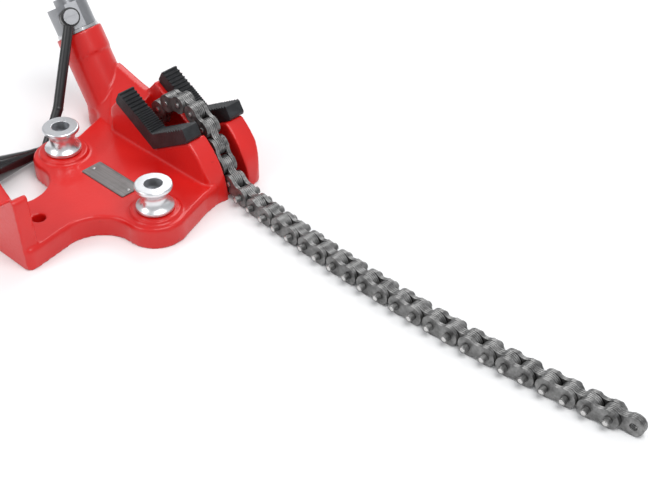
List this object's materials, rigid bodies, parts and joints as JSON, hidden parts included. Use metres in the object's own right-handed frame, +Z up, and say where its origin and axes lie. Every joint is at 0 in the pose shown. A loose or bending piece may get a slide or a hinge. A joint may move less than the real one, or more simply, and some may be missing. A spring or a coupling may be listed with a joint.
{
  "type": "chain pipe vise",
  "caption": "Bench chain pipe vise: ribbed casting with two serrated V jaws, a chain tightened by a screw and crank, two bending rollers and a pipe rest.",
  "frame": {"origin": "on the bench face, below the middle of the V jaws, in the middle plane of the chain slot", "axes": "+X along the clamped pipe towards the pipe rest, +Y along the chain's free end, +Z up from the bench"},
  "size_m": [0.2066, 0.6079, 0.1015],
  "materials": {
    "red_paint": "glossy red paint on cast iron",
    "jaw_steel": "blackened hardened steel",
    "dark_screw": "dark steel socket screw",
    "roller_metal": "polished turned metal",
    "sleeve_steel": "plain steel",
    "label_metal": "bare grey plate",
    "plain_steel": "plain machined steel",
    "washer_metal": "bright washer",
    "black_rod": "black coated rod",
    "black_grip": "glossy black plastic",
    "chain_steel": "dark oiled steel"
  },
  "bodies": {
    "base": {"base_casting": "red_paint", "jaw_near": "jaw_steel", "jaw_far": "jaw_steel", "jaw_screws": "dark_screw", "roller_sleeves": "sleeve_steel", "name_plate": "label_metal", "thrust_washer": "washer_metal"},
    "roller_near": {"pipe_roller_near": "roller_metal"},
    "roller_far": {"pipe_roller_far": "roller_metal"},
    "screw": {"chain_screw": "plain_steel", "anchor_pin": "plain_steel"},
    "nut": {"nut_hub": "plain_steel", "pivot_pin": "plain_steel"},
    "crank": {"crank_arm": "black_rod", "grip_nut": "sleeve_steel"},
    "handle": {"grip": "black_grip"},
    "link_01": {"inner_link_1": "chain_steel"},
    "link_02": {"outer_link_2": "chain_steel"},
    "link_03": {"inner_link_3": "chain_steel"},
    "link_04": {"outer_link_4": "chain_steel"},
    "link_05": {"inner_link_5": "chain_steel"},
    "link_06": {"outer_link_6": "chain_steel"},
    "link_07": {"inner_link_7": "chain_steel"},
    "link_08": {"outer_link_8": "chain_steel"},
    "link_09": {"inner_link_9": "chain_steel"},
    "link_10": {"outer_link_10": "chain_steel"},
    "link_11": {"inner_link_11": "chain_steel"},
    "link_12": {"outer_link_12": "chain_steel"},
    "link_13": {"inner_link_13": "chain_steel"},
    "link_14": {"outer_link_14": "chain_steel"},
    "link_15": {"inner_link_15": "chain_steel"},
    "link_16": {"outer_link_16": "chain_steel"},
    "link_17": {"inner_link_17": "chain_steel"},
    "link_18": {"outer_link_18": "chain_steel"},
    "link_19": {"inner_link_19": "chain_steel"},
    "link_20": {"outer_link_20": "chain_steel"},
    "link_21": {"inner_link_21": "chain_steel"},
    "link_22": {"outer_link_22": "chain_steel"},
    "link_23": {"inner_link_23": "chain_steel"},
    "link_24": {"outer_link_24": "chain_steel"},
    "link_25": {"inner_link_25": "chain_steel"},
    "link_26": {"outer_link_26": "chain_steel"},
    "link_27": {"inner_link_27": "chain_steel"},
    "link_28": {"outer_link_28": "chain_steel"},
    "link_29": {"inner_link_29": "chain_steel"},
    "link_30": {"outer_link_30": "chain_steel"},
    "link_31": {"inner_link_31": "chain_steel"},
    "link_32": {"outer_link_32": "chain_steel"},
    "link_33": {"inner_link_33": "chain_steel"},
    "link_34": {"outer_link_34": "chain_steel"},
    "link_35": {"inner_link_35": "chain_steel"},
    "link_36": {"outer_link_36": "chain_steel"},
    "link_37": {"inner_link_37": "chain_steel"}
  },
  "joints": [
    {"name": "roller_near_spin", "type": "hinge", "parent": "base", "child": "roller_near", "pos_m": [0.076, 0.057, 0.0213], "axis": [0, 0, 1], "continuous": true},
    {"name": "roller_far_spin", "type": "hinge", "parent": "base", "child": "roller_far", "pos_m": [0.076, -0.057, 0.0213], "axis": [0, 0, 1], "continuous": true},
    {"name": "nut_spin", "type": "hinge", "parent": "base", "child": "nut", "pos_m": [0, -0.12834, 0.07299], "axis": [0, 0.5299, -0.848], "range_deg": [0, 195]},
    {"name": "screw_slide", "type": "slide", "parent": "base", "child": "screw", "axis": [0, -0.5299, 0.848], "range_m": [0, 0.0028]},
    {"name": "crank_fold", "type": "hinge", "parent": "nut", "child": "crank", "pos_m": [0.01204, -0.1192, 0.09167], "axis": [-0.309, -0.8065, -0.504], "range_deg": [0, 60]},
    {"name": "grip_spin", "type": "hinge", "parent": "crank", "child": "handle", "pos_m": [0.07291, -0.08828, 0.00487], "axis": [0.9721, 0.1372, 0.1905], "continuous": true},
    {"name": "chain_hinge_01", "type": "hinge", "parent": "screw", "child": "link_01", "pos_m": [0, -0.09765, 0.02389], "axis": [1, 0, 0], "range_deg": [0, 1]},
    {"name": "chain_hinge_02", "type": "hinge", "parent": "link_01", "child": "link_02", "pos_m": [0, -0.08604, 0.01307], "axis": [0.9999, 0.0119, 0], "range_deg": [-1, 0]},
    {"name": "chain_hinge_03", "type": "hinge", "parent": "link_02", "child": "link_03", "pos_m": [-0.00019, -0.0703, 0.011], "axis": [0.9999, 0.0119, 0], "range_deg": [0, 1.5]},
    {"name": "chain_hinge_04", "type": "hinge", "parent": "link_03", "child": "link_04", "pos_m": [-0.00052, -0.05443, 0.011], "axis": [0.9998, 0.0209, 0], "range_deg": [-1, 0]},
    {"name": "chain_hinge_05", "type": "hinge", "parent": "link_04", "child": "link_05", "pos_m": [-0.00083, -0.03942, 0.01618], "axis": [0.9998, 0.0209, 0], "range_deg": [0, 5]},
    {"name": "chain_hinge_06", "type": "hinge", "parent": "link_05", "child": "link_06", "pos_m": [-0.00095, -0.02986, 0.02885], "axis": [1, 0, 0], "range_deg": [0, 15]},
    {"name": "chain_hinge_07", "type": "hinge", "parent": "link_06", "child": "link_07", "pos_m": [-0.00095, -0.02132, 0.04223], "axis": [-1, 0, 0], "range_deg": [-15, 0]},
    {"name": "chain_hinge_08", "type": "hinge", "parent": "link_07", "child": "link_08", "pos_m": [-0.00078, -0.00942, 0.05274], "axis": [0.9996, -0.0279, 0], "range_deg": [0, 15]},
    {"name": "chain_hinge_09", "type": "hinge", "parent": "link_08", "child": "link_09", "pos_m": [-0.00036, 0.00567, 0.05764], "axis": [-0.9996, 0.0279, 0], "range_deg": [-15, 0]},
    {"name": "chain_hinge_10", "type": "hinge", "parent": "link_09", "child": "link_10", "pos_m": [0.0003, 0.02146, 0.05612], "axis": [0.9984, -0.0558, 0], "range_deg": [0, 15]},
    {"name": "chain_hinge_11", "type": "hinge", "parent": "link_10", "child": "link_11", "pos_m": [0.00108, 0.03532, 0.04842], "axis": [-0.9984, 0.0558, 0], "range_deg": [-15, 0]},
    {"name": "chain_hinge_12", "type": "hinge", "parent": "link_11", "child": "link_12", "pos_m": [0.00177, 0.04528, 0.03608], "axis": [0.9965, -0.0837, 0], "range_deg": [0, 15]},
    {"name": "chain_hinge_13", "type": "hinge", "parent": "link_12", "child": "link_13", "pos_m": [0.00254, 0.05442, 0.02312], "axis": [-0.9965, 0.0837, 0], "range_deg": [-15, 0]},
    {"name": "chain_hinge_14", "type": "hinge", "parent": "link_13", "child": "link_14", "pos_m": [0.00375, 0.06675, 0.01319], "axis": [0.9938, -0.1115, 0], "range_deg": [0, 15]},
    {"name": "chain_hinge_15", "type": "hinge", "parent": "link_14", "child": "link_15", "pos_m": [0.00543, 0.08171, 0.00817], "axis": [0.9938, -0.1115, 0], "range_deg": [0, 45]},
    {"name": "chain_hinge_16", "type": "hinge", "parent": "link_15", "child": "link_16", "pos_m": [0.00742, 0.09746, 0.0077], "axis": [0.9935, -0.114, 0], "range_deg": [-45, 45]},
    {"name": "chain_hinge_17", "type": "hinge", "parent": "link_16", "child": "link_17", "pos_m": [0.00923, 0.11323, 0.0077], "axis": [-0.9935, 0.114, 0], "range_deg": [-45, 45]},
    {"name": "chain_hinge_18", "type": "hinge", "parent": "link_17", "child": "link_18", "pos_m": [0.01086, 0.12902, 0.0077], "axis": [0.9958, -0.0912, 0], "range_deg": [-45, 45]},
    {"name": "chain_hinge_19", "type": "hinge", "parent": "link_18", "child": "link_19", "pos_m": [0.0123, 0.14483, 0.0077], "axis": [-0.9958, 0.0912, 0], "range_deg": [-45, 45]},
    {"name": "chain_hinge_20", "type": "hinge", "parent": "link_19", "child": "link_20", "pos_m": [0.01357, 0.16065, 0.0077], "axis": [0.9977, -0.0684, 0], "range_deg": [-45, 45]},
    {"name": "chain_hinge_21", "type": "hinge", "parent": "link_20", "child": "link_21", "pos_m": [0.01465, 0.17649, 0.0077], "axis": [-0.9977, 0.0684, 0], "range_deg": [-45, 45]},
    {"name": "chain_hinge_22", "type": "hinge", "parent": "link_21", "child": "link_22", "pos_m": [0.01556, 0.19234, 0.0077], "axis": [0.999, -0.0455, 0], "range_deg": [-45, 45]},
    {"name": "chain_hinge_23", "type": "hinge", "parent": "link_22", "child": "link_23", "pos_m": [0.01628, 0.2082, 0.0077], "axis": [-0.999, 0.0455, 0], "range_deg": [-45, 45]},
    {"name": "chain_hinge_24", "type": "hinge", "parent": "link_23", "child": "link_24", "pos_m": [0.01682, 0.22406, 0.0077], "axis": [0.9997, -0.0226, 0], "range_deg": [-45, 45]},
    {"name": "chain_hinge_25", "type": "hinge", "parent": "link_24", "child": "link_25", "pos_m": [0.01718, 0.23994, 0.0077], "axis": [-0.9997, 0.0226, 0], "range_deg": [-45, 45]},
    {"name": "chain_hinge_26", "type": "hinge", "parent": "link_25", "child": "link_26", "pos_m": [0.01736, 0.25581, 0.0077], "axis": [1, 0.0003, 0], "range_deg": [-45, 45]},
    {"name": "chain_hinge_27", "type": "hinge", "parent": "link_26", "child": "link_27", "pos_m": [0.01735, 0.27168, 0.0077], "axis": [-1, -0.0003, 0], "range_deg": [-45, 45]},
    {"name": "chain_hinge_28", "type": "hinge", "parent": "link_27", "child": "link_28", "pos_m": [0.01717, 0.28756, 0.0077], "axis": [0.9997, 0.0232, 0], "range_deg": [-45, 45]},
    {"name": "chain_hinge_29", "type": "hinge", "parent": "link_28", "child": "link_29", "pos_m": [0.0168, 0.30343, 0.0077], "axis": [-0.9997, -0.0232, 0], "range_deg": [-45, 45]},
    {"name": "chain_hinge_30", "type": "hinge", "parent": "link_29", "child": "link_30", "pos_m": [0.01625, 0.31929, 0.0077], "axis": [0.9989, 0.0461, 0], "range_deg": [-45, 45]},
    {"name": "chain_hinge_31", "type": "hinge", "parent": "link_30", "child": "link_31", "pos_m": [0.01552, 0.33515, 0.0077], "axis": [-0.9989, -0.0461, 0], "range_deg": [-45, 45]},
    {"name": "chain_hinge_32", "type": "hinge", "parent": "link_31", "child": "link_32", "pos_m": [0.01461, 0.351, 0.0077], "axis": [0.9976, 0.0689, 0], "range_deg": [-45, 45]},
    {"name": "chain_hinge_33", "type": "hinge", "parent": "link_32", "child": "link_33", "pos_m": [0.01351, 0.36684, 0.0077], "axis": [-0.9976, -0.0689, 0], "range_deg": [-45, 45]},
    {"name": "chain_hinge_34", "type": "hinge", "parent": "link_33", "child": "link_34", "pos_m": [0.01224, 0.38266, 0.0077], "axis": [0.9958, 0.0917, 0], "range_deg": [-45, 45]},
    {"name": "chain_hinge_35", "type": "hinge", "parent": "link_34", "child": "link_35", "pos_m": [0.01078, 0.39847, 0.0077], "axis": [-0.9958, -0.0917, 0], "range_deg": [-45, 45]},
    {"name": "chain_hinge_36", "type": "hinge", "parent": "link_35", "child": "link_36", "pos_m": [0.00914, 0.41426, 0.0077], "axis": [0.9934, 0.1145, 0], "range_deg": [-45, 45]},
    {"name": "chain_hinge_37", "type": "hinge", "parent": "link_36", "child": "link_37", "pos_m": [0.00732, 0.43003, 0.0077], "axis": [-0.9934, -0.1145, 0], "range_deg": [-45, 45]}
  ],
  "couplings": [
    {"joint": "screw_slide", "follows": "nut_spin", "m_per_rad": 0.00079577}
  ]
}
